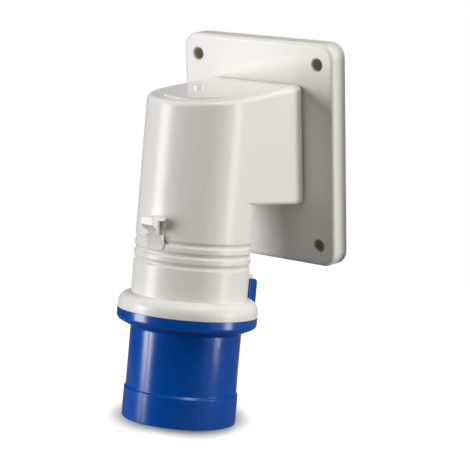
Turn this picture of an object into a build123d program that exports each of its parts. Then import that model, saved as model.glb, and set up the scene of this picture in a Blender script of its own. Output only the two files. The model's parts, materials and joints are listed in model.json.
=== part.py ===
"""Angled appliance inlet: a 16 A, 2-pole and earth pin inlet on a rectangular panel flange.

All lengths are in millimetres. The origin is the centre of the flange's back face, which
lies on the panel. +Y points into the panel, -Y away from it and +Z up. The plug end hangs
from the flange on a tube that leans out from the panel.

Everything carried by the tube is drawn upright about the tube's own axis first. In that
tube frame the height is 0 where the white housing meets the blue insert, heights below 0
lead to the mouth, +Y looks back to the panel and -Y away from it.
"""

import os
from math import cos, radians, sin, tan

from build123d import *

# Flange on the panel
FLANGE_W = 75.0
FLANGE_H = 88.5
FLANGE_T = 8.0
FLANGE_CORNER_R = 6.0
FLANGE_EDGE_R = 1.6
FLANGE_WALL = 3.2
FLANGE_RIM = 2.8
SCREW_INSET_X = 7.5
SCREW_INSET_Z = 8.25
SCREW_HOLE_R = 2.75

# Leaning tube and the duct behind it
TUBE_TILT = 10.0
TUBE_R = 22.7
TUBE_WALL = 2.8
TUBE_REACH = 45.6
TUBE_DROP = 56.7
TOP_RISE = 27.3
DUCT_FLOOR_H = 44.0
DUCT_EDGE_R = 1.5
TOP_EDGE_R = 2.0
FOOT_GAP_W = 0.6
FOOT_GAP_DEPTH = 1.1

# Grooves round the tube, each given by the height of its middle
GROOVE_HEIGHTS = (19.6, 23.7, 27.8)
GROOVE_R = 1.3
GROOVE_DEPTH = 0.5
GROOVE_EDGE_R = 0.7

# Flared collar at the tube's end
COLLAR_FLARE = 4.7
COLLAR_TOP_H = 6.3
COLLAR_ROUND = 4.6

# Disc and pip on the top face
DISC_INSET = 6.7
DISC_H = 0.6
DISC_FORWARD = 1.5
PIP_R = 1.7
PIP_H = 3.4
PIP_FORWARD = 4.5

# Lug that the mating connector's lid hooks under
LUG_STAND_OUT = 5.8
LUG_TIP_W = 5.8
LUG_ROOT_W = 8.0
LUG_TOP_H = 37.2
LUG_LIP_H = 2.9
LUG_FOOT_H = 25.2
LUG_UNDER_RISE = 1.4
LUG_POCKET_DEPTH = 2.0
LUG_POCKET_W = 3.4
LUG_POCKET_LOW_H = 30.5
LUG_POCKET_HIGH_H = 36.0

# Blue insert: flange, skirt round the pins, end band, floor, sleeve and key rib
SKIRT_STEP_IN = 1.0
SKIRT_WALL = 2.5
SKIRT_LEN = 42.8
INSERT_FLANGE_STRAIGHT = 2.9
INSERT_FLANGE_ROUND = 2.0
INSERT_FLANGE_FOOT = 6.9
BAND_STEP_OUT = 0.6
BAND_LEN = 11.7
BAND_STEP = 0.9
FLOOR_T = 4.0
SLEEVE_WALL = 2.2
SLEEVE_LEN = 9.0
MOUTH_EDGE_R = 0.6
KEY_W = 8.0
KEY_H = 2.2
KEY_TOP_DEPTH = 9.0
KEY_EDGE_R = 1.0
INNER_RIB_W = 1.6
INNER_RIB_H = 0.9
INNER_RIB_LEN = 24.0
INNER_RIB_COUNT = 6

# Pins with their bored terminals
PIN_CIRCLE_R = 9.0
POLE_PIN_R = 2.5
EARTH_PIN_R = 3.5
PIN_RECESS = 7.8
PIN_TIP_ROUND = 1.4
PIN_SHOULDER = 0.4
TERMINAL_R = 4.2
TERMINAL_LEN = 14.0
TERMINAL_SEAT = 2.0
WIRE_BORE_R = 2.2
WIRE_BORE_LEN = 10.0

# Terminal screws and the leaves that they press on the wires
TERMINAL_SCREW_R = 1.75
TERMINAL_SCREW_LEN = 4.2
TERMINAL_SCREW_DROP = 5.0
SLOT_W = 0.8
SLOT_DEPTH = 1.0
LEAF_T = 0.5
LEAF_W = 2.4
LEAF_LEN = 7.0
LEAF_OFFSET = 0.6

# Contact carrier, its cover and their screws
CARRIER_FACE_T = 5.0
CHIMNEY_WALL = 1.2
CARRIER_SCREW_INSET = 4.7
CARRIER_SCREW_R = 1.5
CARRIER_SCREW_LEN = 8.0
SCREW_HEAD_R = 2.7
SCREW_HEAD_H = 1.8
COVER_T = 2.4
COVER_SCREW_LEN = 9.0
POST_R = 2.9

# Release latch on the panel side of the tube
LATCH_W = 23.0
LATCH_T = 4.9
LATCH_LOW_H = 3.3
LATCH_LOW_SLOPE = 0.5
LATCH_HIGH_H = 13.1
LATCH_TOP_R = 1.8
LATCH_EDGE_R = 0.5
LATCH_HINGE_STAND = 2.3
LATCH_HINGE_H = 15.0
KNUCKLE_R = 1.6
KNUCKLE_W = 10.0
KNUCKLE_END_W = 2.0
KNUCKLE_GAP = 0.25
LATCH_PIN_R = 0.8
LATCH_PIN_END = 0.3
TOOTH_W = 8.0
TOOTH_LOW_H = 4.7
TOOTH_HIGH_H = 7.0
TOOTH_GRIP = 1.3
TOOTH_SWING_ROOM = 2.2
LATCH_CLEARANCE = 0.4

# Guards on the tube just above the latch's two ends
GUARD_W = 3.4
GUARD_STAND = 1.9
GUARD_T = 1.5

# Spring wound round the latch pin
SPRING_ROOM = 3.8
SPRING_WIRE_R = 0.25
SPRING_MEAN_R = 1.15
SPRING_PITCH = 0.75
SPRING_TURNS = 4
SPRING_LEG = 4.4
SPRING_REST_W = 1.6

# Seals
SEAL_WIRE_R = 1.0
SEAL_OUT = 0.9
GASKET_SIDE_GAP = 0.2
BUSH_BORE_R = 2.35
BUSH_SINK = 0.2

# Clearances shared by the pieces
SLIDE_GAP = 0.3
BORE_GAP = 0.1
RUNNING_GAP = 0.05
PRESSED_GAP = 0.02

# Sizes that follow from the values above
SCREW_PITCH_X = FLANGE_W - 2 * SCREW_INSET_X
SCREW_PITCH_Z = FLANGE_H - 2 * SCREW_INSET_Z
COLLAR_R = TUBE_R + COLLAR_FLARE
DISC_R = TUBE_R - DISC_INSET
LUG_REACH = TUBE_R + LUG_STAND_OUT
SKIRT_R = TUBE_R - SKIRT_STEP_IN
BAND_R = SKIRT_R + BAND_STEP_OUT
SEAL_RING_R = TUBE_R + SEAL_OUT
TUBE_BORE_R = TUBE_R - TUBE_WALL
SLEEVE_R = TUBE_BORE_R - SLIDE_GAP
SLEEVE_BORE_R = SLEEVE_R - SLEEVE_WALL
SKIRT_BORE_R = SKIRT_R - SKIRT_WALL
GASKET_T = FLANGE_T - FLANGE_WALL
TERMINAL_LOW_H = CARRIER_FACE_T - TERMINAL_SEAT
TERMINAL_TOP_H = TERMINAL_LOW_H + TERMINAL_LEN
COVER_TOP_H = TERMINAL_TOP_H + COVER_T
SCREW_ROW_H = TERMINAL_TOP_H - TERMINAL_SCREW_DROP
CHIMNEY_BORE_R = TERMINAL_R + BORE_GAP
CHIMNEY_R = CHIMNEY_BORE_R + CHIMNEY_WALL
CARRIER_R = SLEEVE_BORE_R - BORE_GAP
CARRIER_SCREW_CIRCLE_R = CARRIER_R - CARRIER_SCREW_INSET
LATCH_IN = TUBE_R + SLIDE_GAP
LATCH_OUT = LATCH_IN + LATCH_T
LATCH_HINGE_OUT = TUBE_R + LATCH_HINGE_STAND
KNUCKLE_END = KNUCKLE_W / 2 + KNUCKLE_GAP + KNUCKLE_END_W
TOOTH_IN = SLEEVE_R - TOOTH_GRIP
SPRING_LEG_OUT = LATCH_HINGE_OUT + SPRING_MEAN_R
AXIS_Y = -FLANGE_T - TUBE_REACH
TILT = radians(TUBE_TILT)
TOP_CENTRE_Y = AXIS_Y + (TOP_RISE + TUBE_DROP) * tan(TILT)
PAST_TOP_H = (TOP_RISE + TUBE_DROP) / cos(TILT) + 2 * TUBE_R
PAST_PANEL = 2 * (TUBE_REACH + FLANGE_T)
EVERYTHING = 4 * FLANGE_H

# The tube frame: origin on the tube's axis where the housing meets the insert
TUBE_FRAME = Plane(origin=(0, AXIS_Y, -TUBE_DROP), x_dir=(1, 0, 0), z_dir=(0, sin(TILT), cos(TILT)))

# Places on the pin circle: the earth pin is in line with the key, on the panel side
EARTH_ANGLE = 90.0
LINE_ANGLE = EARTH_ANGLE - 120
NEUTRAL_ANGLE = EARTH_ANGLE + 120
CARRIER_SCREW_ANGLES = (EARTH_ANGLE - 60, EARTH_ANGLE + 60)


def on_tube(shape):
    """Moves a shape from the upright tube frame to its place on the part."""
    return TUBE_FRAME.location * shape


def polar(radius, angle):
    """A point of the tube's cross-section, from its distance and angle."""
    return (radius * cos(radians(angle)), radius * sin(radians(angle)))


def cylinder(radius, low, high, centre=(0, 0)):
    """An upright cylinder between two heights."""
    place = Pos(centre[0], centre[1], low)
    return place * Cylinder(radius, high - low, align=(Align.CENTER, Align.CENTER, Align.MIN))


def block(x_range, y_range, z_range):
    """A box between two X, two Y and two Z values."""
    low, high = Vector(x_range[0], y_range[0], z_range[0]), Vector(x_range[1], y_range[1], z_range[1])
    size = high - low
    return Location((low + high) * 0.5) * Box(size.X, size.Y, size.Z)


def cross_bar(radius, x_low, x_high, out=LATCH_HINGE_OUT, height=LATCH_HINGE_H):
    """A cylinder that lies along X, as the latch pin does."""
    return Pos((x_low + x_high) / 2, out, height) * Rot(0, 90, 0) * Cylinder(radius, x_high - x_low)


def below(shape, top_z):
    """What a shape has under a level plane."""
    half = EVERYTHING / 2
    return shape & block((-half, half), (-half, half), (top_z - EVERYTHING, top_z))


def before_panel(shape):
    """What a shape has on the near side of the panel face."""
    half = EVERYTHING / 2
    return shape & block((-half, half), (-EVERYTHING, 0), (-half, half))


# Housing


def flange_outline(inset=0.0):
    """The flange's rounded rectangle, or one inside it at an even distance."""
    return Plane.XZ * RectangleRounded(
        FLANGE_W - 2 * inset, FLANGE_H - 2 * inset, FLANGE_CORNER_R - inset
    )


def flange_plate():
    """The flange with its soft front edge."""
    plate = extrude(flange_outline(), FLANGE_T)
    front = plate.faces().sort_by(Axis.Y)[0]
    return fillet(front.edges(), FLANGE_EDGE_R)


def screw_holes(radius):
    """Cutters for the four screw holes, right through the flange."""
    circles = Sketch() + GridLocations(SCREW_PITCH_X, SCREW_PITCH_Z, 2, 2) * Circle(radius)
    return extrude(Plane.XZ * circles, 2 * FLANGE_T, both=True)


def duct_column(half_width, low):
    """The duct as an upright column of the tube frame: half round in front, straight sides behind."""
    plan = Circle(half_width) + Pos(0, PAST_PANEL / 2) * Rectangle(2 * half_width, PAST_PANEL)
    return Pos(0, 0, low) * extrude(plan, PAST_TOP_H - low)


def duct_outside():
    """The duct's outside, with softened edges along its sloping floor."""
    column = duct_column(TUBE_R, DUCT_FLOOR_H)
    floor = column.faces().sort_by(Axis.Z)[0]
    return fillet(floor.edges(), DUCT_EDGE_R)


def wire_opening_face(grow=0.0):
    """The outline that the duct's space, or that space grown by a wall, has on the panel face."""
    floor_h = DUCT_FLOOR_H + TUBE_WALL
    low = -TUBE_DROP + (floor_h + AXIS_Y * sin(TILT)) / cos(TILT) - grow
    high = TOP_RISE - TUBE_WALL + grow
    return Plane.XZ * Pos(0, (high + low) / 2) * Rectangle(2 * (TUBE_BORE_R + grow), high - low)


def gasket_space():
    """The frame-shaped hollow in the back of the flange."""
    outside = extrude(flange_outline(FLANGE_RIM), GASKET_T)
    return outside - extrude(wire_opening_face(TUBE_WALL), GASKET_T)


def grooved_tube():
    """The tube's outside with its three shallow grooves, whose edges are rounded."""
    tube = cylinder(TUBE_R, 0, PAST_TOP_H)
    for height in GROOVE_HEIGHTS:
        tube -= Pos(0, 0, height) * Torus(TUBE_R + GROOVE_R - GROOVE_DEPTH, GROOVE_R)
    rims = tube.edges().filter_by(GeomType.CIRCLE).filter_by(
        lambda rim: GROOVE_HEIGHTS[0] - 2 * GROOVE_R < rim.center().Z < GROOVE_HEIGHTS[-1] + 2 * GROOVE_R
    )
    return fillet(rims, GROOVE_EDGE_R)


def collar():
    """The collar: a level shoulder, a large round and a straight rim."""
    rim_h = COLLAR_TOP_H - COLLAR_ROUND
    disc = cylinder(COLLAR_R, 0, COLLAR_TOP_H)
    top_edge = disc.edges().filter_by(GeomType.CIRCLE).sort_by(Axis.Z)[-1]
    return fillet(top_edge, COLLAR_TOP_H - rim_h)


def lid_lug():
    """The lug: flat top, upright lip, hollow underside that runs back to the tube, side pockets."""
    inside = TUBE_R - TUBE_WALL / 2
    lip_low = LUG_TOP_H - LUG_LIP_H
    with BuildSketch(Plane.YZ) as side:
        with BuildLine():
            Polyline((-TUBE_R, LUG_FOOT_H), (-inside, LUG_FOOT_H), (-inside, LUG_TOP_H))
            Polyline((-inside, LUG_TOP_H), (-LUG_REACH, LUG_TOP_H), (-LUG_REACH, lip_low))
            ThreePointArc(
                (-LUG_REACH, lip_low),
                (-TUBE_R - LUG_UNDER_RISE, (lip_low + LUG_FOOT_H) / 2),
                (-TUBE_R, LUG_FOOT_H),
            )
        make_face()
    plan = make_face(
        Polyline(
            (-LUG_ROOT_W / 2, -inside),
            (-LUG_ROOT_W / 2, -TUBE_R),
            (-LUG_TIP_W / 2, -LUG_REACH),
            (LUG_TIP_W / 2, -LUG_REACH),
            (LUG_ROOT_W / 2, -TUBE_R),
            (LUG_ROOT_W / 2, -inside),
            close=True,
        )
    )
    lug = extrude(side.sketch, LUG_ROOT_W, both=True) & extrude(plan, LUG_TOP_H)
    for hand in (-1, 1):
        pocket_x = sorted((hand * LUG_ROOT_W, hand * (LUG_ROOT_W / 2 - LUG_POCKET_DEPTH)))
        pocket_y = (-TUBE_R - LUG_POCKET_W, -TUBE_R)
        lug -= block(pocket_x, pocket_y, (LUG_POCKET_LOW_H, LUG_POCKET_HIGH_H))
    return lug


def wall_block(x_range, out, z_range):
    """A block that stands on the tube's panel side, rooted in the middle of its wall."""
    farthest = max(abs(x) for x in x_range)
    root = ((TUBE_R - TUBE_WALL / 2) ** 2 - farthest**2) ** 0.5
    return block(x_range, (root, out), z_range)


def housing_knuckles():
    """Two knuckles that hold the ends of the latch pin, and a rest for the spring's upper leg."""
    heights = (LATCH_HINGE_H - KNUCKLE_R, LATCH_HINGE_H + KNUCKLE_R)
    knuckles = []
    inner_end = KNUCKLE_END - KNUCKLE_END_W
    for low, high in ((-KNUCKLE_END, -inner_end), (inner_end, KNUCKLE_END)):
        knuckles.append(cross_bar(KNUCKLE_R, low, high))
        knuckles.append(wall_block((low, high), LATCH_HINGE_OUT, heights))
    rest_x = (-spring_half_length() - SPRING_REST_W / 2, -spring_half_length() + SPRING_REST_W / 2)
    rest_out = SPRING_LEG_OUT - SPRING_WIRE_R - PRESSED_GAP
    coil_top = LATCH_HINGE_H + SPRING_MEAN_R + SPRING_WIRE_R
    knuckles.append(wall_block(rest_x, rest_out, (coil_top + SLIDE_GAP, LATCH_HINGE_H + SPRING_LEG)))
    return Part() + knuckles


def latch_guards():
    """Two low ribs over the latch's ends, which keep it from being caught from above."""
    low = LATCH_HIGH_H + LATCH_CLEARANCE
    end = LATCH_W / 2
    spans = ((-end, GUARD_W - end), (end - GUARD_W, end))
    return Part() + [wall_block(span, TUBE_R + GUARD_STAND, (low, low + GUARD_T)) for span in spans]


def tooth_slot(inner, outer):
    """The way through a wall for the latch's tooth, with room for its swing."""
    half = TOOTH_W / 2 + LATCH_CLEARANCE
    heights = (TOOTH_LOW_H - TOOTH_SWING_ROOM, TOOTH_HIGH_H + LATCH_CLEARANCE)
    return block((-half, half), (inner, outer), heights)


def latch_recess():
    """The notch in the collar's shoulder that the latch's lower edge lies in."""
    half = LATCH_W / 2 + LATCH_CLEARANCE
    notch = block((-half, half), (0, 2 * COLLAR_R), (LATCH_LOW_H - LATCH_CLEARANCE, LATCH_HIGH_H))
    return notch - cylinder(TUBE_R, 0, LATCH_HIGH_H)


def rounded_top(shell):
    """Rounds the edge of the level top face, except where it runs into the panel face."""
    top = shell.faces().sort_by(Axis.Z)[-1]
    return fillet(top.edges().filter_by(lambda edge: edge.center().Y < -FLANGE_T), TOP_EDGE_R)


def foot_gap():
    """The narrow shadow gap round the duct where it meets the flange."""
    slab = Pos(0, -FLANGE_T, 0) * extrude(flange_outline(), FOOT_GAP_W)
    return slab - extrude(wire_opening_face(TUBE_WALL - FOOT_GAP_DEPTH), FLANGE_T + FOOT_GAP_W)


def make_housing():
    """The white housing, one moulding from the flange to the collar."""
    outside = grooved_tube() + duct_outside() + (collar() - latch_recess()) + lid_lug()
    solid = rounded_top(before_panel(below(on_tube(outside), TOP_RISE))) - foot_gap()
    solid += flange_plate()
    solid += Pos(0, TOP_CENTRE_Y - DISC_FORWARD, TOP_RISE + DISC_H / 2) * Cylinder(DISC_R, DISC_H)
    solid += Pos(0, TOP_CENTRE_Y - PIP_FORWARD, TOP_RISE + PIP_H / 2) * Cylinder(PIP_R, PIP_H)
    solid += on_tube(housing_knuckles() + latch_guards())

    inside = cylinder(TUBE_BORE_R, -TUBE_R, PAST_TOP_H) + duct_column(TUBE_BORE_R, DUCT_FLOOR_H + TUBE_WALL)
    solid -= below(on_tube(inside), TOP_RISE - TUBE_WALL)
    solid -= gasket_space()
    solid -= screw_holes(SCREW_HOLE_R)
    solid -= on_tube(tooth_slot(TUBE_BORE_R / 2, LATCH_IN))
    pin_bore_end = KNUCKLE_END + KNUCKLE_GAP
    return solid - on_tube(cross_bar(LATCH_PIN_R + PRESSED_GAP, -pin_bore_end, pin_bore_end))


def make_gasket():
    """The rubber frame in the flange's back, with a bush that lines each screw hole."""
    frame = extrude(flange_outline(FLANGE_RIM + GASKET_SIDE_GAP), GASKET_T)
    frame -= extrude(wire_opening_face(TUBE_WALL + GASKET_SIDE_GAP), GASKET_T)
    bushes = screw_holes(SCREW_HOLE_R - PRESSED_GAP)
    bushes &= extrude(flange_outline(), FLANGE_T - BUSH_SINK)
    return frame + bushes - screw_holes(BUSH_BORE_R)


# Blue insert


def insert_section():
    """Half section of the insert's turned shape."""
    flange_low = -INSERT_FLANGE_STRAIGHT
    round_x = COLLAR_R - INSERT_FLANGE_ROUND
    round_end = polar(INSERT_FLANGE_ROUND, -60)
    round_end = (round_x + round_end[0], flange_low + round_end[1])
    band_top = -SKIRT_LEN + BAND_LEN
    with BuildSketch(Plane.XZ) as section:
        with BuildLine():
            Polyline((0, 0), (0, -FLOOR_T), (SKIRT_BORE_R, -FLOOR_T), (SKIRT_BORE_R, -SKIRT_LEN))
            Polyline((SKIRT_BORE_R, -SKIRT_LEN), (BAND_R, -SKIRT_LEN), (BAND_R, band_top))
            Polyline((BAND_R, band_top), (SKIRT_R, band_top + BAND_STEP), (SKIRT_R, -INSERT_FLANGE_FOOT))
            Line((SKIRT_R, -INSERT_FLANGE_FOOT), round_end)
            CenterArc((round_x, flange_low), INSERT_FLANGE_ROUND, -60, 60)
            Polyline((COLLAR_R, flange_low), (COLLAR_R, 0), (SLEEVE_R, 0), (SLEEVE_R, SLEEVE_LEN))
            Polyline((SLEEVE_R, SLEEVE_LEN), (SLEEVE_BORE_R, SLEEVE_LEN), (SLEEVE_BORE_R, 0), (0, 0))
        make_face()
    return section.sketch


def key_rib():
    """The key on the panel side of the skirt."""
    key = block(
        (-KEY_W / 2, KEY_W / 2),
        (SKIRT_R - SKIRT_WALL / 2, SKIRT_R + KEY_H),
        (-SKIRT_LEN + MOUTH_EDGE_R, -KEY_TOP_DEPTH),
    )
    outer_edges = key.edges().filter_by(Axis.Z).group_by(Axis.Y)[-1]
    return fillet(outer_edges, KEY_EDGE_R)


def inner_ribs():
    """Low guide ribs inside the skirt, spread evenly and clear of the key."""
    ribs = []
    for step in range(INNER_RIB_COUNT):
        rib = block(
            (-INNER_RIB_W / 2, INNER_RIB_W / 2),
            (SKIRT_BORE_R - INNER_RIB_H, SKIRT_BORE_R + SKIRT_WALL / 2),
            (-FLOOR_T - INNER_RIB_LEN, -FLOOR_T / 2),
        )
        ribs.append(Rot(0, 0, 360 / INNER_RIB_COUNT * (step + 0.5)) * rib)
    return Part() + ribs


def make_insert():
    """The blue insert: sleeve, floor, flange and the skirt round the pins."""
    body = revolve(insert_section(), Axis.Z)
    mouth = body.edges().filter_by(GeomType.CIRCLE).group_by(Axis.Z)[0]
    body = fillet(mouth, MOUTH_EDGE_R)
    body += key_rib()
    body += inner_ribs()
    body -= tooth_slot(SLEEVE_BORE_R - SLEEVE_WALL, SLEEVE_R + SLEEVE_WALL)
    groove_r = SEAL_RING_R + SEAL_WIRE_R + BORE_GAP
    groove_bore_r = SEAL_RING_R - SEAL_WIRE_R - BORE_GAP
    groove_low = -2 * (SEAL_WIRE_R + PRESSED_GAP)
    body -= cylinder(groove_r, groove_low, 1) - cylinder(groove_bore_r, groove_low, 1)
    for angle, radius in PIN_PLACES.values():
        bore_r = radius + PIN_SHOULDER + BORE_GAP
        body -= cylinder(bore_r, -2 * FLOOR_T, 1, polar(PIN_CIRCLE_R, angle))
    for angle in CARRIER_SCREW_ANGLES:
        low = CARRIER_FACE_T - CARRIER_SCREW_LEN - BORE_GAP
        body -= cylinder(CARRIER_SCREW_R + PRESSED_GAP, low, 1, polar(CARRIER_SCREW_CIRCLE_R, angle))
    return body


def make_seal():
    """The O-ring between the collar and the insert's flange."""
    return Pos(0, 0, -SEAL_WIRE_R - PRESSED_GAP) * Torus(SEAL_RING_R, SEAL_WIRE_R)


# Contacts

PIN_PLACES = {
    "line": (LINE_ANGLE, POLE_PIN_R),
    "neutral": (NEUTRAL_ANGLE, POLE_PIN_R),
    "earth": (EARTH_ANGLE, EARTH_PIN_R),
}


def outward(angle, shape):
    """Turns a shape drawn along +X at the pin circle to a pole's own angle."""
    return Rot(0, 0, angle) * Pos(PIN_CIRCLE_R, 0, 0) * shape


def side_bar(radius, near, far):
    """A cylinder along +X at the height of the terminal screws."""
    return Pos((near + far) / 2, 0, SCREW_ROW_H) * Rot(0, 90, 0) * Cylinder(radius, far - near)


def make_pin(angle, radius):
    """A turned pin: rounded tip, shoulder in the floor, terminal bored for the wire and its screw."""
    shank = cylinder(radius, -SKIRT_LEN + PIN_RECESS, TERMINAL_LOW_H + TERMINAL_SEAT)
    tip = shank.edges().filter_by(GeomType.CIRCLE).sort_by(Axis.Z)[0]
    pin = fillet(tip, PIN_TIP_ROUND)
    pin += cylinder(radius + PIN_SHOULDER, -FLOOR_T, TERMINAL_LOW_H)
    pin += cylinder(TERMINAL_R, TERMINAL_LOW_H, TERMINAL_TOP_H)
    pin -= cylinder(WIRE_BORE_R, TERMINAL_TOP_H - WIRE_BORE_LEN, TERMINAL_TOP_H + 1)
    pin -= side_bar(TERMINAL_SCREW_R + RUNNING_GAP, 0, 2 * TERMINAL_R)
    return outward(angle, pin)


def make_terminal_screw(angle):
    """A slotted screw without a head that turns in the terminal's wall."""
    near = LEAF_OFFSET + LEAF_T
    screw = side_bar(TERMINAL_SCREW_R, near, near + TERMINAL_SCREW_LEN)
    end = near + TERMINAL_SCREW_LEN
    slot_y = (-SLOT_W / 2, SLOT_W / 2)
    slot_z = (SCREW_ROW_H - TERMINAL_R, SCREW_ROW_H + TERMINAL_R)
    return outward(angle, screw - block((end - SLOT_DEPTH, end + 1), slot_y, slot_z))


def make_leaf(angle):
    """The thin leaf between the terminal screw and the wire."""
    half = LEAF_LEN / 2
    leaf = block(
        (LEAF_OFFSET, LEAF_OFFSET + LEAF_T),
        (-LEAF_W / 2, LEAF_W / 2),
        (SCREW_ROW_H - half, SCREW_ROW_H + half),
    )
    return outward(angle, leaf)


def make_carrier():
    """The carrier: a round face with a chimney for each terminal and a post for the cover."""
    body = cylinder(CARRIER_R, 0, CARRIER_FACE_T)
    for angle, radius in PIN_PLACES.values():
        body += cylinder(CHIMNEY_R, CARRIER_FACE_T, TERMINAL_TOP_H, polar(PIN_CIRCLE_R, angle))
    body += cylinder(POST_R, CARRIER_FACE_T, TERMINAL_TOP_H)
    for angle, radius in PIN_PLACES.values():
        centre = polar(PIN_CIRCLE_R, angle)
        body -= cylinder(radius + PIN_SHOULDER + BORE_GAP, -1, TERMINAL_TOP_H, centre)
        body -= cylinder(CHIMNEY_BORE_R, TERMINAL_LOW_H, TERMINAL_TOP_H + 1, centre)
        body -= outward(angle, side_bar(TERMINAL_SCREW_R + SLIDE_GAP, 0, 2 * CHIMNEY_R))
    for angle in CARRIER_SCREW_ANGLES:
        centre = polar(CARRIER_SCREW_CIRCLE_R, angle)
        body -= cylinder(CARRIER_SCREW_R + BORE_GAP, -1, CARRIER_FACE_T + 1, centre)
    return body - cylinder(CARRIER_SCREW_R + PRESSED_GAP, COVER_TOP_H - COVER_SCREW_LEN - 1, COVER_TOP_H)


def make_cover():
    """The cover over the terminals, with three holes for the wires."""
    body = cylinder(CARRIER_R - SLIDE_GAP, TERMINAL_TOP_H, COVER_TOP_H)
    for angle, radius in PIN_PLACES.values():
        body -= cylinder(WIRE_BORE_R, TERMINAL_TOP_H - 1, COVER_TOP_H + 1, polar(PIN_CIRCLE_R, angle))
    for angle in CARRIER_SCREW_ANGLES:
        access = polar(CARRIER_SCREW_CIRCLE_R, angle)
        body -= cylinder(SCREW_HEAD_R + SLIDE_GAP, TERMINAL_TOP_H - 1, COVER_TOP_H + 1, access)
    return body - cylinder(CARRIER_SCREW_R + BORE_GAP, TERMINAL_TOP_H - 1, COVER_TOP_H + 1)


def make_screw(length, seat_h, centre=(0, 0)):
    """A slotted pan-head screw that stands head up on a seat."""
    head = cylinder(SCREW_HEAD_R, seat_h, seat_h + SCREW_HEAD_H)
    head = fillet(head.edges().filter_by(GeomType.CIRCLE).sort_by(Axis.Z)[-1], SCREW_HEAD_H / 3)
    screw = head + cylinder(CARRIER_SCREW_R, seat_h - length, seat_h)
    top = seat_h + SCREW_HEAD_H
    slot = block((-SCREW_HEAD_R, SCREW_HEAD_R), (-SLOT_W / 2, SLOT_W / 2), (top - SLOT_DEPTH, top + 1))
    return Pos(centre[0], centre[1], 0) * (screw - slot)


def make_carrier_screws():
    """The two screws that fix the carrier to the insert's floor."""
    places = [polar(CARRIER_SCREW_CIRCLE_R, angle) for angle in CARRIER_SCREW_ANGLES]
    return Compound([make_screw(CARRIER_SCREW_LEN, CARRIER_FACE_T, place) for place in places])


# Release latch


def latch_knuckle_spans():
    """The two stretches of the latch's own knuckles, with the spring's room between them."""
    return ((-KNUCKLE_W / 2, -SPRING_ROOM / 2), (SPRING_ROOM / 2, KNUCKLE_W / 2))


def latch_bar():
    """The thumb bar: a round top corner on the outside and a foot that slopes down to the outside."""
    with BuildSketch(Plane.YZ) as profile:
        with BuildLine():
            Polyline(
                (LATCH_IN, LATCH_HIGH_H),
                (LATCH_IN, LATCH_LOW_H + LATCH_LOW_SLOPE),
                (LATCH_OUT, LATCH_LOW_H),
                (LATCH_OUT, LATCH_HIGH_H),
                close=True,
            )
        make_face()
        outer_top = profile.vertices().sort_by(Axis.Y)[-2:].sort_by(Axis.X)[-1]
        fillet(outer_top, LATCH_TOP_R)
    bar = extrude(profile.sketch, LATCH_W / 2, both=True)
    ends = bar.faces().sort_by(Axis.X)[0].edges() + bar.faces().sort_by(Axis.X)[-1].edges()
    return fillet(ends, LATCH_EDGE_R)


def make_latch():
    """The blue release latch: a thumb bar hinged at its top, with a tooth that locks the insert."""
    latch = latch_bar()
    web_y = (LATCH_HINGE_OUT - KNUCKLE_R, LATCH_HINGE_OUT + KNUCKLE_R)
    web_z = (LATCH_HIGH_H - LATCH_TOP_R, LATCH_HINGE_H)
    for low, high in latch_knuckle_spans():
        latch += cross_bar(KNUCKLE_R, low, high)
        latch += block((low, high), web_y, web_z)
    latch += block((-TOOTH_W / 2, TOOTH_W / 2), (TOOTH_IN, LATCH_HINGE_OUT), (TOOTH_LOW_H, TOOTH_HIGH_H))
    leg_room = SPRING_WIRE_R + BORE_GAP
    leg_x = (spring_half_length() - leg_room, spring_half_length() + leg_room)
    leg_y = (SPRING_LEG_OUT - leg_room, SPRING_LEG_OUT + leg_room)
    latch -= block(leg_x, leg_y, (LATCH_HINGE_H - SPRING_LEG - BORE_GAP, LATCH_HINGE_H))
    return latch - cross_bar(LATCH_PIN_R + RUNNING_GAP, -LATCH_W, LATCH_W)


def make_latch_pin():
    """The steel pin that the latch turns on, held in the housing's knuckles."""
    end = KNUCKLE_END - LATCH_PIN_END
    return cross_bar(LATCH_PIN_R, -end, end)


def spring_half_length():
    """Half the length of the spring's coil, from wire middle to wire middle."""
    return SPRING_PITCH * SPRING_TURNS / 2


def make_spring():
    """The spring: a coil round the pin, one leg on the housing's rest and one in the latch."""
    half = spring_half_length()
    coil_path = Helix(SPRING_PITCH, 2 * half, SPRING_MEAN_R)
    wire = Plane(origin=coil_path @ 0, z_dir=coil_path % 0) * Circle(SPRING_WIRE_R)
    coil = sweep(wire, coil_path)
    # The coil starts and ends on the +X side of its own axis, which becomes the side away from the tube
    coil = Pos(-half, LATCH_HINGE_OUT, LATCH_HINGE_H) * Rot(0, 90, 0) * Rot(0, 0, 90) * coil
    latch_leg = cylinder(SPRING_WIRE_R, LATCH_HINGE_H - SPRING_LEG, LATCH_HINGE_H, (half, SPRING_LEG_OUT))
    tube_leg = cylinder(SPRING_WIRE_R, LATCH_HINGE_H, LATCH_HINGE_H + SPRING_LEG, (-half, SPRING_LEG_OUT))
    return coil + latch_leg + tube_leg


# Assembly


def make_nodes():
    """Every piece at its place, by name."""
    nodes = {"housing": make_housing(), "flange_gasket": make_gasket()}
    nodes["shroud_insert"] = on_tube(make_insert())
    nodes["insert_seal"] = on_tube(make_seal())
    nodes["contact_carrier"] = on_tube(make_carrier())
    nodes["carrier_cover"] = on_tube(make_cover())
    nodes["carrier_screws"] = on_tube(make_carrier_screws())
    nodes["cover_screw"] = on_tube(make_screw(COVER_SCREW_LEN, COVER_TOP_H))
    for pole, (angle, radius) in PIN_PLACES.items():
        nodes[pole + "_pin"] = on_tube(make_pin(angle, radius))
        nodes[pole + "_terminal_screw"] = on_tube(make_terminal_screw(angle))
        nodes[pole + "_wire_leaf"] = on_tube(make_leaf(angle))
    nodes["release_latch"] = on_tube(make_latch())
    nodes["latch_pin"] = on_tube(make_latch_pin())
    nodes["latch_spring"] = on_tube(make_spring())
    return nodes


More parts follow.
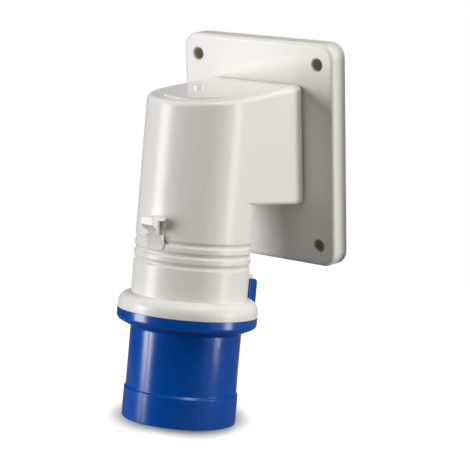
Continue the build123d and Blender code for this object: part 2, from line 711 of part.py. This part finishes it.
os.makedirs("parts", exist_ok=True)
for name, shape in make_nodes().items():
    export_step(shape, f"parts/{name}.step")
    print(name, round(shape.volume, 1))
hinge = TUBE_FRAME.from_local_coords(Vector(0, LATCH_HINGE_OUT, LATCH_HINGE_H))
print("latch hinge", hinge)
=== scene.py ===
# Angled appliance inlet on its panel flange: moulded white housing, blue plug shroud and latch.
import json
import math

import bpy
from mathutils import Matrix, Vector

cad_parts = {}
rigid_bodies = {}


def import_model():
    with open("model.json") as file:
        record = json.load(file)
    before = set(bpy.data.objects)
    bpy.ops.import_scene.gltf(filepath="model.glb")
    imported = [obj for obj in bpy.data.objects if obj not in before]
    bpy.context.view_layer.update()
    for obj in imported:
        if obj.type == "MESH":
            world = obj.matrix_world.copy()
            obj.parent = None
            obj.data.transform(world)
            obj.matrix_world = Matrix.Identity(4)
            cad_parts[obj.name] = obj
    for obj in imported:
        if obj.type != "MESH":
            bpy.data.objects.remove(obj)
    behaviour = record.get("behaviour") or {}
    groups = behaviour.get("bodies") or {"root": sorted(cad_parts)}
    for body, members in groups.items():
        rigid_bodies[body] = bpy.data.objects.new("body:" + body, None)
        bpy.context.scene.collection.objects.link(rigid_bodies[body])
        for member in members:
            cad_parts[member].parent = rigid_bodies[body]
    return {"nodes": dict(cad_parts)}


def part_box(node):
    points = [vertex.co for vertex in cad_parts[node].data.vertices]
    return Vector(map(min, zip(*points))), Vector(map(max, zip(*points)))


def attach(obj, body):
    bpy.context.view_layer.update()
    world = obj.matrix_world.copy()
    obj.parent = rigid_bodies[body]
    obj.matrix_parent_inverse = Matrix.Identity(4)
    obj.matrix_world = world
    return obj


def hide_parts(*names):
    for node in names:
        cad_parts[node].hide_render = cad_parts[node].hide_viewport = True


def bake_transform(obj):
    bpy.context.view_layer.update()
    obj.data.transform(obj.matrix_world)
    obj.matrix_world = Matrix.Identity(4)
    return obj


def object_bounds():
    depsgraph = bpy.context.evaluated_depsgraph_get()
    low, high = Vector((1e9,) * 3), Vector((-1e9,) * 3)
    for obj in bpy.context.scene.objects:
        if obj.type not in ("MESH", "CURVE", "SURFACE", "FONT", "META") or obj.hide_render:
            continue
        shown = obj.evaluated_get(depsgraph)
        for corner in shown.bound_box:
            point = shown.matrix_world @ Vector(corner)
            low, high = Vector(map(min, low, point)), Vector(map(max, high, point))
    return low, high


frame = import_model()
cad_low, cad_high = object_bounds()
nodes = frame["nodes"]
for thing in list(bpy.data.objects):
    thing.select_set(False)

# Camera. A long lens about 0.8 m away, to the right of the inlet and a little above it, turned
# slightly on its own axis as the photograph was.
CAMERA_AZIMUTH = 39.6
CAMERA_ELEVATION = 13.65
CAMERA_ROLL = -1.28
CAMERA_DISTANCE = 0.786
CAMERA_TARGET = Vector((0.0036, -0.028, -0.0311))
CAMERA_LENS = 152.5
SENSOR_WIDTH = 36.0
NEAR_CLIP = 0.05

azimuth = math.radians(CAMERA_AZIMUTH)
elevation = math.radians(CAMERA_ELEVATION)
camera_back = Vector((
    math.sin(azimuth) * math.cos(elevation),
    -math.cos(azimuth) * math.cos(elevation),
    math.sin(elevation),
))
camera_right = Vector((math.cos(azimuth), math.sin(azimuth), 0.0))
camera_right.rotate(Matrix.Rotation(math.radians(CAMERA_ROLL), 3, camera_back))
camera_up = camera_back.cross(camera_right)
camera_place = Matrix((camera_right, camera_up, camera_back)).transposed().to_4x4()
camera_place.translation = CAMERA_TARGET + camera_back * CAMERA_DISTANCE
bpy.ops.object.camera_add()
camera = bpy.context.object
camera.name = "camera"
camera.data.lens = CAMERA_LENS
camera.data.sensor_width = SENSOR_WIDTH
camera.data.clip_start = NEAR_CLIP
camera.matrix_world = camera_place
bpy.context.scene.camera = camera
bpy.context.scene.view_settings.view_transform = "Standard"


# Floor. A small plain sheet that just touches the lowest edge of the shroud. It ends short of the
# lamps' feet so that they also shine from below its level, and the white room goes on beyond it.
# It is white to the camera. Its glow fades out close round the shroud's mouth, which paints a shadow there
# on top of the sheet's real one.
def linear(hex_colour):
    channels = [int(hex_colour[at:at + 2], 16) / 255 for at in (1, 3, 5)]
    straight = [c / 12.92 if c <= 0.04045 else ((c + 0.055) / 1.055) ** 2.4 for c in channels]
    return (*straight, 1.0)


def add_node(material, kind, settings=None, inputs=None):
    node = material.node_tree.nodes.new(kind)
    for name, value in (settings or {}).items():
        setattr(node, name, value)
    for name, value in (inputs or {}).items():
        if isinstance(value, bpy.types.NodeSocket):
            material.node_tree.links.new(value, node.inputs[name])
        else:
            node.inputs[name].default_value = value
    return node


FLOOR_SIZE = 0.36
FLOOR_WHITE = "#8C8C8C"
FLOOR_GREY = "#7C7A78"
MOUTH_R = 0.0223
PAINTED_SHADOW_RINGS = (
    # middle from the mouth's own, radius of full painted shadow, radius where the sheet is white again
    (Vector((-0.0138, 0.0134, 0.0)), 0.0145, 0.0311),
    (Vector((0.0030, 0.0104, 0.0)), 0.0064, 0.0247),
)
BACKDROP_EDGE = 0.965
BACKDROP_FULL = 0.985
bpy.ops.mesh.primitive_plane_add(size=FLOOR_SIZE, location=(0, 0, cad_low[2]))
floor = bpy.context.object
floor.name = "floor"
paper = bpy.data.materials.new("white_paper")
paper.use_nodes = True
paper.node_tree.nodes.clear()
path = add_node(paper, "ShaderNodeLightPath")
seen_plainly = add_node(paper, "ShaderNodeMath", {"operation": "MAXIMUM"},
                        {0: path.outputs["Is Camera Ray"], 1: path.outputs["Is Transmission Ray"]})
sheet_place = add_node(paper, "ShaderNodeTexCoord").outputs["Object"]
sheet_side = add_node(paper, "ShaderNodeVectorMath", {"operation": "NORMALIZE"}, {0: sheet_place})
behind_inlet = (-math.sin(azimuth), math.cos(azimuth), 0.0)
behind = add_node(paper, "ShaderNodeVectorMath", {"operation": "DOT_PRODUCT"},
                  {0: sheet_side.outputs["Vector"], 1: behind_inlet})
backed = add_node(paper, "ShaderNodeMapRange", {"interpolation_type": "SMOOTHSTEP"}, {
    "Value": behind.outputs["Value"], "From Min": BACKDROP_EDGE, "From Max": BACKDROP_FULL})
in_gloss = add_node(paper, "ShaderNodeMath", {"operation": "MULTIPLY"},
                    {0: path.outputs["Is Glossy Ray"], 1: backed.outputs["Result"]})
seen = add_node(paper, "ShaderNodeMath", {"operation": "MAXIMUM"},
                {0: seen_plainly.outputs[0], 1: in_gloss.outputs[0]})
sheet_colour = add_node(paper, "ShaderNodeMix", {"data_type": "RGBA"}, {"Factor": seen.outputs[0]})
sheet_colour.inputs["A"].default_value = linear(FLOOR_GREY)
sheet_colour.inputs["B"].default_value = linear(FLOOR_WHITE)
matt_sheet = add_node(paper, "ShaderNodeBsdfDiffuse", inputs={"Color": sheet_colour.outputs["Result"]})
mouth_middle = Vector((0.0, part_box("shroud_insert")[0][1] + MOUTH_R, 0.0))
glow_with_painted_shadow = seen
# Painted shadow: within each ring the glow fades out towards its middle
for from_middle, full_painted_shadow_radius, outer_radius in PAINTED_SHADOW_RINGS:
    away = add_node(paper, "ShaderNodeVectorMath", {"operation": "DISTANCE"},
                    {0: sheet_place, 1: tuple(mouth_middle + from_middle)}).outputs["Value"]
    painted_shadow_lift = add_node(paper, "ShaderNodeMapRange", {"interpolation_type": "SMOOTHSTEP"}, {
        "Value": away, "From Min": full_painted_shadow_radius, "From Max": outer_radius})
    glow_with_painted_shadow = add_node(paper, "ShaderNodeMath", {"operation": "MULTIPLY"},
                          {0: glow_with_painted_shadow.outputs[0], 1: painted_shadow_lift.outputs["Result"]})
glow = add_node(paper, "ShaderNodeEmission", inputs={"Strength": glow_with_painted_shadow.outputs[0]})
both = add_node(paper, "ShaderNodeAddShader", inputs={0: matt_sheet.outputs[0], 1: glow.outputs[0]})
# From below the sheet is clear, so the pins in the shroud's mouth can be seen
underside = add_node(paper, "ShaderNodeNewGeometry").outputs["Backfacing"]
clear = add_node(paper, "ShaderNodeBsdfTransparent")
sheet = add_node(paper, "ShaderNodeMixShader",
                 inputs={0: underside, 1: both.outputs[0], 2: clear.outputs[0]})
add_node(paper, "ShaderNodeOutputMaterial", inputs={"Surface": sheet.outputs[0]})
floor.data.materials.append(paper)

# Room. White wherever the camera looks. Reflections see that white only behind the inlet, where
# the camera looks too, and a dim warm studio elsewhere, so the blue stays deep. The wall that the
# panel would stand on gives a soft light of its own, so the back of the inlet isn't lost.
ROOM_LIGHT = 0.02
ROOM_WARMTH = "#FFC880"
WALL_LIGHT = 0.50
PLAIN_WHITE = (1.0, 1.0, 1.0, 1.0)
world = bpy.data.worlds.new("white_room")
bpy.context.scene.world = world
world.use_nodes = True
world.node_tree.nodes.clear()
room_path = add_node(world, "ShaderNodeLightPath")
look = add_node(world, "ShaderNodeTexCoord").outputs["Generated"]
towards = add_node(world, "ShaderNodeVectorMath", {"operation": "DOT_PRODUCT"},
                   {0: look, 1: tuple(-camera_back)}).outputs["Value"]
backdrop = add_node(world, "ShaderNodeMapRange", {"interpolation_type": "SMOOTHSTEP"}, {
    "Value": towards, "From Min": BACKDROP_EDGE, "From Max": BACKDROP_FULL})
mirrored = add_node(world, "ShaderNodeMath", {"operation": "MULTIPLY"},
                    {0: room_path.outputs["Is Glossy Ray"], 1: backdrop.outputs["Result"]})
room_seen_plainly = add_node(
    world, "ShaderNodeMath", {"operation": "MAXIMUM"},
    {0: room_path.outputs["Is Camera Ray"], 1: room_path.outputs["Is Transmission Ray"]})
room_seen = add_node(world, "ShaderNodeMath", {"operation": "MAXIMUM"},
                     {0: room_seen_plainly.outputs[0], 1: mirrored.outputs[0]})
studio = add_node(world, "ShaderNodeBackground",
                  inputs={"Color": linear(ROOM_WARMTH), "Strength": ROOM_LIGHT})
wallward = add_node(world, "ShaderNodeVectorMath", {"operation": "DOT_PRODUCT"},
                    {0: look, 1: (0.0, WALL_LIGHT, 0.0)}).outputs["Value"]
wall_level = add_node(world, "ShaderNodeMath", {"operation": "MULTIPLY", "use_clamp": True},
                      {0: wallward, 1: room_path.outputs["Is Diffuse Ray"]})
wall = add_node(world, "ShaderNodeBackground",
                inputs={"Color": PLAIN_WHITE, "Strength": wall_level.outputs[0]})
lit_studio = add_node(world, "ShaderNodeAddShader", inputs={0: studio.outputs[0], 1: wall.outputs[0]})
white = add_node(world, "ShaderNodeBackground", inputs={"Color": PLAIN_WHITE, "Strength": 1.0})
room = add_node(world, "ShaderNodeMixShader",
                inputs={0: room_seen.outputs[0], 1: lit_studio.outputs[0], 2: white.outputs[0]})
add_node(world, "ShaderNodeOutputWorld", inputs={"Surface": room.outputs[0]})

# Lamps. A tall soft box far out on the left and a narrow strip on the right give the round tube its
# two long bright streaks. A broad box fills the right side softly, and one high up on that side
# lights the top face and the middle of the tube without reaching the flange's shaded front.
INLET_MIDDLE = Vector((0.0, -0.04, -0.03))
SOFT_BOXES = {
    # name: turn from the camera, height angle, distance, width, height, light on the inlet, colour
    "left_soft_box": (-80.0, 10.0, 0.75, 0.29, 0.42, 3.2, "#FBFDFF"),
    "right_soft_box": (61.0, 12.0, 0.60, 0.50, 0.50, 0.65, "#FFFDFA"),
    "right_strip_box": (68.0, -2.0, 0.60, 0.12, 0.38, 1.5, "#FFFFFF"),
    "top_soft_box": (55.0, 68.0, 0.7, 0.45, 0.45, 2.3, "#FFFFFF"),
}
for name, (turn, height_angle, distance, width, height, brightness, tint) in SOFT_BOXES.items():
    turn_angle = math.radians(CAMERA_AZIMUTH + turn)
    rise = math.radians(height_angle)
    outward = Vector((
        math.sin(turn_angle) * math.cos(rise),
        -math.cos(turn_angle) * math.cos(rise),
        math.sin(rise),
    ))
    bpy.ops.object.light_add(type="AREA", location=INLET_MIDDLE + outward * distance)
    lamp = bpy.context.object
    lamp.name = name
    lamp.data.shape = "RECTANGLE"
    lamp.data.size = width
    lamp.data.size_y = height
    lamp.data.color = linear(tint)[:3]
    # A lamp of W watts gives W / (pi * distance^2) at the inlet
    lamp.data.energy = brightness * math.pi * distance ** 2
    lamp.rotation_euler = outward.to_track_quat("Z", "Y").to_euler()

# Card. A black card stands just behind the flange's right side, as a studio uses it, so that the
# back edge of the white flange doesn't melt into the white room. Neither the camera nor a
# reflection sees it.
CARD_AWAY = 0.015
CARD_START = 0.001
CARD_DEPTH = 0.014
CARD_HEIGHT = 0.20
CARD_BLACK = "#0A0A0A"
CARD_ROUGHNESS = 0.9
bpy.ops.mesh.primitive_plane_add(
    size=1.0, rotation=(0.0, math.radians(90.0), 0.0),
    location=(cad_high[0] + CARD_AWAY, CARD_START + CARD_DEPTH / 2, INLET_MIDDLE.z))
card = bpy.context.object
card.name = "black_card"
card.scale = (CARD_HEIGHT, CARD_DEPTH, 1.0)
matt_black = bpy.data.materials.new("black_card")
matt_black.use_nodes = True
card_shader = matt_black.node_tree.nodes["Principled BSDF"]
card_shader.inputs["Base Color"].default_value = linear(CARD_BLACK)
card_shader.inputs["Roughness"].default_value = CARD_ROUGHNESS
card.data.materials.append(matt_black)
card.visible_camera = False
card.visible_glossy = False
card.visible_transmission = False

# Housing. One injection moulding in off-white polyamide. Its satin skin has the fine even grain
# of a spark-eroded mould, so it is neither flat nor glossy. The real grain is about 0.1 mm and is
# drawn coarser to show, and the colour drifts a little over patches of some 45 mm.
MILLIMETRE = 0.001
NYLON_WHITE = "#E3E1DC"
NYLON_SHADE = "#DFDDD7"
NYLON_IOR = 1.53
DRIFT_SCALE = 22.0
FINE_GRAIN = 0.35 * MILLIMETRE
GRAIN_DEPTH = 0.05 * MILLIMETRE
EDGE_ROUND = 0.35 * MILLIMETRE
ROUGHNESS_SWING = 0.04
# roughness, shine, grain size and grain strength
WHITE_SKIN = (0.31, 0.28, FINE_GRAIN, 0.05)


def moulded_nylon(name, light, dark, roughness, shine, grain_size, grain_strength):
    material = bpy.data.materials.new(name)
    material.use_nodes = True
    shader = material.node_tree.nodes["Principled BSDF"]
    place = add_node(material, "ShaderNodeTexCoord").outputs["Object"]
    drift = add_node(material, "ShaderNodeTexNoise",
                     inputs={"Vector": place, "Scale": DRIFT_SCALE, "Detail": 3.0})
    tone = add_node(material, "ShaderNodeMix", {"data_type": "RGBA"}, {"Factor": drift.outputs["Fac"]})
    tone.inputs["A"].default_value = linear(light)
    tone.inputs["B"].default_value = linear(dark)
    grain = add_node(material, "ShaderNodeTexNoise",
                     inputs={"Vector": place, "Scale": 1 / grain_size, "Detail": 2.0})
    skin = add_node(material, "ShaderNodeBump",
                    inputs={"Height": grain.outputs["Fac"], "Strength": grain_strength,
                            "Distance": GRAIN_DEPTH})
    soft_edge = add_node(material, "ShaderNodeBevel", {"samples": 4}, {"Radius": EDGE_ROUND})
    material.node_tree.links.new(soft_edge.outputs["Normal"], skin.inputs["Normal"])
    gloss = add_node(material, "ShaderNodeMapRange", inputs={
        "Value": grain.outputs["Fac"],
        "To Min": roughness - ROUGHNESS_SWING, "To Max": roughness + ROUGHNESS_SWING})
    material.node_tree.links.new(tone.outputs["Result"], shader.inputs["Base Color"])
    material.node_tree.links.new(gloss.outputs["Result"], shader.inputs["Roughness"])
    material.node_tree.links.new(skin.outputs["Normal"], shader.inputs["Normal"])
    shader.inputs["IOR"].default_value = NYLON_IOR
    shader.inputs["Specular IOR Level"].default_value = shine
    return material


white_nylon = moulded_nylon("white_polyamide", NYLON_WHITE, NYLON_SHADE, *WHITE_SKIN)

# The shadow gap round the duct's foot gets painted shade: its faces are coloured darker than its depth
# gives, to show at this size.
FLANGE_FACE_Y = -8.0 * MILLIMETRE
GAP_WIDTH = 0.6 * MILLIMETRE
GAP_MARGIN = 0.02 * MILLIMETRE
PAINTED_GAP_SHADE = "#A8A49C"
white_shader = white_nylon.node_tree.nodes["Principled BSDF"]
white_tone = white_shader.inputs["Base Color"].links[0].from_socket
white_place = add_node(white_nylon, "ShaderNodeTexCoord").outputs["Object"]
depth = add_node(white_nylon, "ShaderNodeSeparateXYZ", inputs={"Vector": white_place}).outputs["Y"]
before_face = add_node(white_nylon, "ShaderNodeMath", {"operation": "LESS_THAN"},
                       {0: depth, 1: FLANGE_FACE_Y - GAP_MARGIN})
behind_foot = add_node(white_nylon, "ShaderNodeMath", {"operation": "GREATER_THAN"},
                       {0: depth, 1: FLANGE_FACE_Y - GAP_WIDTH + GAP_MARGIN})
in_gap = add_node(white_nylon, "ShaderNodeMath", {"operation": "MULTIPLY"},
                  {0: before_face.outputs[0], 1: behind_foot.outputs[0]})
# Painted shade on the faces inside the gap
gap_painted_shade = add_node(white_nylon, "ShaderNodeMix", {"data_type": "RGBA"},
                  {"Factor": in_gap.outputs[0], "A": white_tone})
gap_painted_shade.inputs["B"].default_value = linear(PAINTED_GAP_SHADE)
white_nylon.node_tree.links.new(gap_painted_shade.outputs["Result"], white_shader.inputs["Base Color"])


def dress(node_name, material):
    mesh = nodes[node_name].data
    mesh.materials.clear()
    mesh.materials.append(material)


dress("housing", white_nylon)

# Pip. The soft stub on the top face, in the same white polyamide and moulded in one with the
# housing. This skin gives its flared foot and rounded top to the plain stub of the housing.
PIP_PLACE = Vector((0.0, -0.04329, 0.02785))
PIP_FOOT_R = 2.5 * MILLIMETRE
PIP_TOP_R = 1.85 * MILLIMETRE
PIP_HEIGHT = 3.0 * MILLIMETRE
PIP_WAIST = 0.9 * MILLIMETRE
PIP_WAIST_SHRINK = 0.85
PIP_ROUND = 0.7 * MILLIMETRE
PIP_SLICE = 0.01 * MILLIMETRE
SMOOTH_BELOW = math.radians(50.0)
pip_middle = PIP_PLACE + Vector((0.0, 0.0, PIP_HEIGHT / 2))
bpy.ops.mesh.primitive_cone_add(vertices=48, radius1=PIP_FOOT_R, radius2=PIP_TOP_R, depth=PIP_HEIGHT,
                                location=pip_middle)
pip = bpy.context.object
pip.name = "top_pip"
bpy.ops.object.transform_apply(location=True, rotation=False, scale=False)
bpy.ops.object.mode_set(mode="EDIT")
bpy.ops.mesh.select_all(action="SELECT")
waist_place = PIP_PLACE + Vector((0.0, 0.0, PIP_WAIST))
bpy.ops.mesh.bisect(plane_co=waist_place, plane_no=(0.0, 0.0, 1.0))
bpy.ops.transform.resize(value=(PIP_WAIST_SHRINK, PIP_WAIST_SHRINK, 1.0), center_override=waist_place)
bpy.ops.mesh.bevel(offset=PIP_ROUND, segments=5, affect="EDGES")
bpy.ops.mesh.select_all(action="DESELECT")
bpy.ops.object.mode_set(mode="OBJECT")
pip_top = PIP_PLACE.z + PIP_HEIGHT - PIP_SLICE
for edge in pip.data.edges:
    edge.select = all(pip.data.vertices[end].co.z > pip_top for end in edge.vertices)
bpy.ops.object.mode_set(mode="EDIT")
bpy.ops.mesh.select_mode(type="EDGE")
bpy.ops.mesh.bevel(offset=PIP_ROUND, segments=4, affect="EDGES")
bpy.ops.object.mode_set(mode="OBJECT")
bpy.ops.object.shade_smooth_by_angle(angle=SMOOTH_BELOW)
pip.data.materials.append(white_nylon)
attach(pip, "inlet")
pip.select_set(False)

# Latch. The thumb bar that locks the insert, moulded in signal blue polyamide and hinged on a
# steel pin between the housing's two knuckles. Its mould was etched, so the skin is smoother than
# the housing's but dimpled, drawn coarser than life to show.
BLUE = "#004CA8"
BLUE_SHADE = "#0048A0"
COARSE_GRAIN = 0.7 * MILLIMETRE
BLUE_SKIN = (0.20, 0.48, COARSE_GRAIN, 0.6)
latch_blue = moulded_nylon("blue_polyamide", BLUE, BLUE_SHADE, *BLUE_SKIN)
dress("release_latch", latch_blue)

# Insert. The shroud round the pins, in the same blue polyamide. Its mould opens along the middle,
# which leaves a fine dark parting line down the front and the back of the skirt. The line is drawn
# a little wider than the real one, to show.
TUBE_LEAN = math.radians(10.0)
SKIRT_TOP = -71.8 * MILLIMETRE
SEAM_WIDTH = 0.30 * MILLIMETRE
SEAM_DEPTH = 0.08 * MILLIMETRE
SEAM_BLUE = "#001F4A"
SEAM_SHARE = 0.7
insert_blue = moulded_nylon("blue_polyamide_with_parting_line", BLUE, BLUE_SHADE, *BLUE_SKIN)
insert_shader = insert_blue.node_tree.nodes["Principled BSDF"]
insert_tone = insert_shader.inputs["Base Color"].links[0].from_socket
insert_place = add_node(insert_blue, "ShaderNodeTexCoord").outputs["Object"]
across = add_node(insert_blue, "ShaderNodeSeparateXYZ", inputs={"Vector": insert_place}).outputs["X"]
from_seam = add_node(insert_blue, "ShaderNodeMath", {"operation": "ABSOLUTE"}, {0: across}).outputs[0]
whole_seam = add_node(insert_blue, "ShaderNodeMapRange", inputs={
    "Value": from_seam, "From Min": SEAM_WIDTH / 2, "From Max": SEAM_WIDTH,
    "To Min": SEAM_SHARE, "To Max": 0.0})
along_tube = add_node(insert_blue, "ShaderNodeVectorMath", {"operation": "DOT_PRODUCT"},
                      {0: insert_place, 1: (0.0, math.sin(TUBE_LEAN), math.cos(TUBE_LEAN))})
on_skirt = add_node(insert_blue, "ShaderNodeMath", {"operation": "LESS_THAN"},
                    {0: along_tube.outputs["Value"], 1: SKIRT_TOP})
seam = add_node(insert_blue, "ShaderNodeMath", {"operation": "MULTIPLY"},
                {0: whole_seam.outputs["Result"], 1: on_skirt.outputs[0]})
seamed = add_node(insert_blue, "ShaderNodeMix", {"data_type": "RGBA"},
                  {"Factor": seam.outputs[0], "A": insert_tone})
seamed.inputs["B"].default_value = linear(SEAM_BLUE)
insert_blue.node_tree.links.new(seamed.outputs["Result"], insert_shader.inputs["Base Color"])
groove = add_node(insert_blue, "ShaderNodeBump", {"invert": True}, {
    "Height": seam.outputs[0], "Distance": SEAM_DEPTH,
    "Normal": insert_shader.inputs["Normal"].links[0].from_socket})
insert_blue.node_tree.links.new(groove.outputs["Normal"], insert_shader.inputs["Normal"])
dress("shroud_insert", insert_blue)

# Gasket and seal. Moulded EPDM rubber: a frame behind the flange with a bush through each screw
# hole, and a ring under the collar. The skin is matt, with a paler bloom in patches of some 17 mm
# and a grain that is drawn coarser than the real one to show.
RUBBER_GRAIN = 0.6 * MILLIMETRE
RUBBER_GRAIN_STRENGTH = 0.3
RUBBER_IOR = 1.5
BLOOM_SCALE = 60.0
BARE_ROUGHNESS = 0.62
BLOOMED_ROUGHNESS = 0.80


def moulded_rubber(name, dark, bloom):
    material = bpy.data.materials.new(name)
    material.use_nodes = True
    shader = material.node_tree.nodes["Principled BSDF"]
    place = add_node(material, "ShaderNodeTexCoord").outputs["Object"]
    patches = add_node(material, "ShaderNodeTexNoise",
                       inputs={"Vector": place, "Scale": BLOOM_SCALE, "Detail": 4.0})
    skin_colour = add_node(material, "ShaderNodeMix", {"data_type": "RGBA"},
                           {"Factor": patches.outputs["Fac"]})
    skin_colour.inputs["A"].default_value = linear(dark)
    skin_colour.inputs["B"].default_value = linear(bloom)
    grain = add_node(material, "ShaderNodeTexNoise",
                     inputs={"Vector": place, "Scale": 1 / RUBBER_GRAIN, "Detail": 3.0})
    skin = add_node(material, "ShaderNodeBump",
                    inputs={"Height": grain.outputs["Fac"], "Strength": RUBBER_GRAIN_STRENGTH,
                            "Distance": GRAIN_DEPTH})
    matt = add_node(material, "ShaderNodeMapRange", inputs={
        "Value": patches.outputs["Fac"], "To Min": BARE_ROUGHNESS, "To Max": BLOOMED_ROUGHNESS})
    material.node_tree.links.new(skin_colour.outputs["Result"], shader.inputs["Base Color"])
    material.node_tree.links.new(matt.outputs["Result"], shader.inputs["Roughness"])
    material.node_tree.links.new(skin.outputs["Normal"], shader.inputs["Normal"])
    shader.inputs["IOR"].default_value = RUBBER_IOR
    return material


dress("flange_gasket", moulded_rubber("grey_rubber", "#B8B4A6", "#C2BEB1"))
dress("insert_seal", moulded_rubber("black_rubber", "#232325", "#2E2E30"))

# Carrier and cover. Two plain mouldings in pale grey polyamide that hold the pins apart and close
# over the terminals. Nobody sees them in use, so their mould was left duller.
GREY_SKIN = (0.40, 0.4, FINE_GRAIN, 0.05)
grey_nylon = moulded_nylon("grey_polyamide", "#B4B4AE", "#ABABA5", *GREY_SKIN)
dress("contact_carrier", grey_nylon)
dress("carrier_cover", grey_nylon)

# Pins. Turned from brass bar and nickel plated, so they are warm silver, with faint stains of some
# 5 mm and rings left by the tool. Real rings are about 0.1 mm apart and these are coarser, to show.
TOOL_RING = 1.885 * MILLIMETRE
RING_DEPTH = 0.01 * MILLIMETRE
RING_STRENGTH = 0.15
STAIN_SCALE = 180.0
POLISHED_BY = 0.06
DULLED_BY = 0.08
ALONG_TUBE = (-TUBE_LEAN, 0.0, 0.0)


def bright_metal(name, light, dark, roughness, turned_along):
    material = bpy.data.materials.new(name)
    material.use_nodes = True
    shader = material.node_tree.nodes["Principled BSDF"]
    place = add_node(material, "ShaderNodeTexCoord").outputs["Object"]
    upright = add_node(material, "ShaderNodeMapping", inputs={"Vector": place, "Rotation": turned_along})
    stains = add_node(material, "ShaderNodeTexNoise",
                      inputs={"Vector": place, "Scale": STAIN_SCALE, "Detail": 5.0})
    plating = add_node(material, "ShaderNodeMix", {"data_type": "RGBA"}, {"Factor": stains.outputs["Fac"]})
    plating.inputs["A"].default_value = linear(light)
    plating.inputs["B"].default_value = linear(dark)
    # A wave texture of scale 1 runs through 20 radians per unit
    rings = add_node(material, "ShaderNodeTexWave", {"bands_direction": "Z"}, {
        "Vector": upright.outputs["Vector"], "Scale": 2 * math.pi / (20 * TOOL_RING),
        "Distortion": 0.6, "Detail": 2.0})
    cut = add_node(material, "ShaderNodeBump",
                   inputs={"Height": rings.outputs["Fac"], "Strength": RING_STRENGTH,
                           "Distance": RING_DEPTH})
    polish = add_node(material, "ShaderNodeMapRange", inputs={
        "Value": stains.outputs["Fac"],
        "To Min": roughness - POLISHED_BY, "To Max": roughness + DULLED_BY})
    material.node_tree.links.new(plating.outputs["Result"], shader.inputs["Base Color"])
    material.node_tree.links.new(polish.outputs["Result"], shader.inputs["Roughness"])
    material.node_tree.links.new(cut.outputs["Normal"], shader.inputs["Normal"])
    shader.inputs["Metallic"].default_value = 1.0
    return material


nickel = bright_metal("nickel_plated_brass", "#D8D0BE", "#C9C0AC", 0.24, ALONG_TUBE)
for pole in ("line", "neutral", "earth"):
    dress(f"{pole}_pin", nickel)

# Screws. Steel, rolled and plated with blue-white zinc, which is a little duller than the nickel.
zinc = bright_metal("zinc_plated_steel", "#C6CACD", "#B1B6BB", 0.34, ALONG_TUBE)
for node_name in ("carrier_screws", "cover_screw", "line_terminal_screw", "neutral_terminal_screw",
                  "earth_terminal_screw"):
    dress(node_name, zinc)

# Leaves and hinge pin. Bare spring steel, drawn or stamped and left with its grey sheen.
ACROSS_TUBE = (0.0, math.radians(90.0), 0.0)
spring_steel = bright_metal("bare_spring_steel", "#9B9DA0", "#86888C", 0.30, ACROSS_TUBE)
for node_name in ("line_wire_leaf", "neutral_wire_leaf", "earth_wire_leaf", "latch_pin"):
    dress(node_name, spring_steel)

# Latch spring. Wire wound round the hinge pin. One leg rests on the housing and the other lies in a slot
# in the latch. A merged, smoothed copy of its mesh is shown in place of the plain one.
MERGE_WITHIN = 0.001 * MILLIMETRE
spring = bpy.data.objects.new("wound_latch_spring", nodes["latch_spring"].data.copy())
bpy.context.scene.collection.objects.link(spring)
bpy.context.view_layer.objects.active = spring
spring.select_set(True)
bpy.ops.object.mode_set(mode="EDIT")
bpy.ops.mesh.select_all(action="SELECT")
bpy.ops.mesh.remove_doubles(threshold=MERGE_WITHIN)
bpy.ops.object.mode_set(mode="OBJECT")
bpy.ops.object.shade_smooth_by_angle(angle=SMOOTH_BELOW)
spring.data.materials.clear()
spring.data.materials.append(spring_steel)
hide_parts("latch_spring")
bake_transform(spring)
spring.select_set(False)
